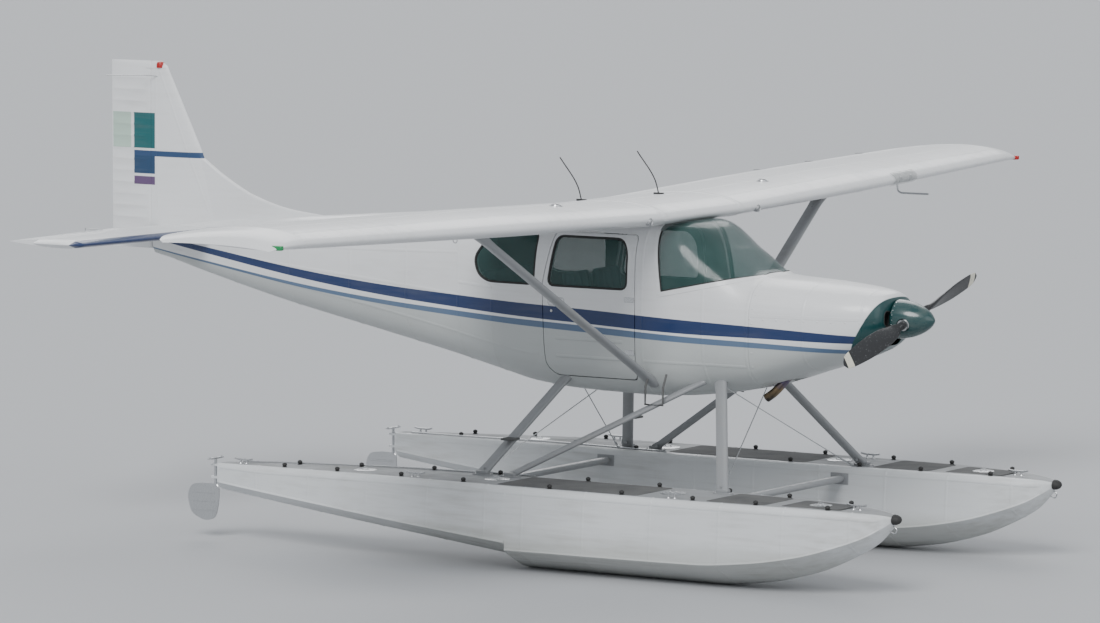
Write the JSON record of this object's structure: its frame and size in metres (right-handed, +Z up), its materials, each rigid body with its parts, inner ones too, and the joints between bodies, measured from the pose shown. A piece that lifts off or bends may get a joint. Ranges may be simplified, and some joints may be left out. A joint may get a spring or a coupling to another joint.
{
  "type": "floatplane, single-engine high-wing with strut-braced wing",
  "caption": "Light aircraft on twin floats: hollow cabin with opening doors, strut-braced high wing, turning propeller, working flaps, ailerons, elevator, rudder and water rudders.",
  "frame": {"origin": "on the ground under the middle of the overall box, between the two keels", "axes": "+X to the nose, +Y to port along the wing, +Z up"},
  "size_m": [8.23, 10.92, 3.71],
  "materials": {
    "white_paint": "gloss white enamel over riveted sheet, with navy and grey-blue stripes",
    "float_paint": "off-white enamel over riveted sheet, worn at the chines, grey non-skid on the deck",
    "strut_paint": "satin light paint over streamlined tube",
    "bare_aluminium": "bare sheet, dulled",
    "blade_paint": "matte black paint, worn leading edges",
    "window_glass": "clear acrylic with a faint green-blue tint",
    "seat_fabric": "woven grey cloth",
    "cabin_lining": "short-pile carpet and felt lining",
    "panel_plastic": "matte dark grained plastic",
    "engine_metal": "grey cast cases and fins, shown as one block",
    "exhaust_steel": "heat-browned stainless",
    "bumper_rubber": "moulded black rubber"
  },
  "bodies": {
    "airframe": {"cabin_belly": "white_paint", "cabin_side_left": "white_paint", "cabin_side_right": "white_paint", "wing_centre": "white_paint", "wing_left": "white_paint", "wing_right": "white_paint", "cowl_upper": "white_paint", "cowl_lower": "white_paint", "tail_cone": "white_paint", "stabilizer": "white_paint", "fin": "white_paint", "float_left": "float_paint", "float_right": "float_paint", "wing_strut_left": "strut_paint", "wing_strut_right": "strut_paint", "float_strut_front_left": "strut_paint", "float_strut_front_right": "strut_paint", "float_strut_rear_left": "strut_paint", "float_strut_rear_right": "strut_paint", "float_strut_slant_left": "strut_paint", "float_strut_slant_right": "strut_paint", "spreader_bar_front": "strut_paint", "spreader_bar_rear": "strut_paint", "firewall": "bare_aluminium", "windshield": "window_glass", "rear_window_left": "window_glass", "rear_window_right": "window_glass", "front_seat_left": "seat_fabric", "front_seat_right": "seat_fabric", "rear_seat": "seat_fabric", "baggage_bulkhead": "cabin_lining", "cabin_floor": "cabin_lining", "instrument_panel": "panel_plastic", "engine_block": "engine_metal", "exhaust_pipe": "exhaust_steel", "bow_bumper_left": "bumper_rubber", "bow_bumper_right": "bumper_rubber"},
    "propeller": {"propeller": "blade_paint", "spinner": "white_paint"},
    "door_left": {"door_left": "white_paint", "door_window_left": "window_glass"},
    "door_right": {"door_right": "white_paint", "door_window_right": "window_glass"},
    "aileron_left": {"aileron_left": "white_paint"},
    "aileron_right": {"aileron_right": "white_paint"},
    "flap_left": {"flap_left": "white_paint"},
    "flap_right": {"flap_right": "white_paint"},
    "elevator": {"elevator": "white_paint"},
    "rudder": {"rudder": "white_paint"},
    "water_rudder_left": {"water_rudder_left": "bare_aluminium"},
    "water_rudder_right": {"water_rudder_right": "bare_aluminium"}
  },
  "joints": [
    {"name": "propeller_spin", "type": "hinge", "parent": "airframe", "child": "propeller", "pos_m": [3.48, 0, 1.95], "axis": [1, 0, 0], "continuous": true},
    {"name": "door_left_hinge", "type": "hinge", "parent": "airframe", "child": "door_left", "pos_m": [1.34, 0.553, 1.4], "axis": [0, 0, -1], "range_deg": [0, 75]},
    {"name": "door_right_hinge", "type": "hinge", "parent": "airframe", "child": "door_right", "pos_m": [1.34, -0.553, 1.4], "axis": [0, 0, 1], "range_deg": [0, 75]},
    {"name": "aileron_left_hinge", "type": "hinge", "parent": "airframe", "child": "aileron_left", "pos_m": [0.38186, 2.566, 2.73159], "axis": [0.0811, 0.9959, 0.0397], "range_deg": [-17.5, 17.5]},
    {"name": "aileron_right_hinge", "type": "hinge", "parent": "airframe", "child": "aileron_right", "pos_m": [0.38186, -2.566, 2.73159], "axis": [-0.0811, 0.9959, -0.0397], "range_deg": [-17.5, 17.5]},
    {"name": "flap_left_hinge", "type": "hinge", "parent": "airframe", "child": "flap_left", "pos_m": [0.49375, 0.612, 2.67492], "axis": [0, -0.9995, -0.0322], "range_deg": [0, 40]},
    {"name": "flap_right_hinge", "type": "hinge", "parent": "airframe", "child": "flap_right", "pos_m": [0.49375, -0.612, 2.67492], "axis": [0, -0.9995, 0.0322], "range_deg": [0, 40]},
    {"name": "elevator_hinge", "type": "hinge", "parent": "airframe", "child": "elevator", "pos_m": [-3.645, 0, 2.325], "axis": [0, 1, 0], "range_deg": [-23, 25]},
    {"name": "rudder_hinge", "type": "hinge", "parent": "airframe", "child": "rudder", "pos_m": [-3.715, 0, 2.165], "axis": [0, 0, 1], "range_deg": [-24, 24]},
    {"name": "water_rudder_left_hinge", "type": "hinge", "parent": "airframe", "child": "water_rudder_left", "pos_m": [-2.165, 1.25, 0.44], "axis": [0, 0, 1], "range_deg": [-30, 30]},
    {"name": "water_rudder_right_hinge", "type": "hinge", "parent": "airframe", "child": "water_rudder_right", "pos_m": [-2.165, -1.25, 0.44], "axis": [0, 0, 1], "range_deg": [-30, 30]}
  ],
  "couplings": [
    {"joint": "aileron_right_hinge", "follows": "aileron_left_hinge", "ratio": -1},
    {"joint": "flap_right_hinge", "follows": "flap_left_hinge", "ratio": 1},
    {"joint": "water_rudder_left_hinge", "follows": "rudder_hinge", "ratio": 1.25},
    {"joint": "water_rudder_right_hinge", "follows": "rudder_hinge", "ratio": 1.25}
  ]
}
